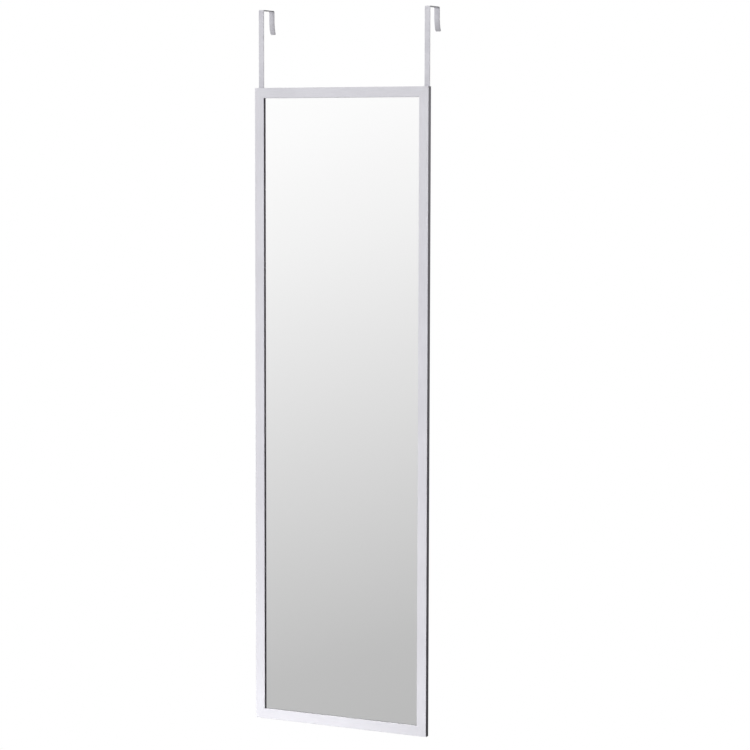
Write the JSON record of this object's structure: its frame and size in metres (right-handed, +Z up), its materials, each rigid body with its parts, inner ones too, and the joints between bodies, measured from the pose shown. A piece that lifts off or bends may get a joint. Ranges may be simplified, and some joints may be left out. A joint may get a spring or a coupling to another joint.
{
  "type": "over the door mirror",
  "caption": "Tall mirror in a slim mitred silver frame that hangs over the top of a door on bent flat steel hooks, with a glass pane and a hardboard back.",
  "frame": {"origin": "midway between the two hooks, where the top edge of the door meets the door's front face", "axes": "+Z up, -Y is the way the mirror looks, away from the door, +X to the right of someone facing the mirror"},
  "size_m": [0.375, 0.0605, 1.4015],
  "materials": {
    "frame": "satin",
    "mirror": "polished",
    "foam": "matte",
    "board": "matte",
    "fasteners": "satin",
    "hooks": "satin",
    "bumpers": "matte"
  },
  "bodies": {
    "root": {"top_rail": "frame", "bottom_rail": "frame", "left_stile": "frame", "right_stile": "frame", "mirror_glass": "mirror", "foam_sheet": "foam", "backing_board": "board", "top_points": "fasteners", "bottom_points": "fasteners", "left_points": "fasteners", "right_points": "fasteners", "top_left_wedges": "fasteners", "top_right_wedges": "fasteners", "bottom_left_wedges": "fasteners", "bottom_right_wedges": "fasteners", "left_hook": "hooks", "right_hook": "hooks", "left_hook_screws": "fasteners", "right_hook_screws": "fasteners", "left_bumper": "bumpers", "right_bumper": "bumpers"}
  },
  "joints": []
}
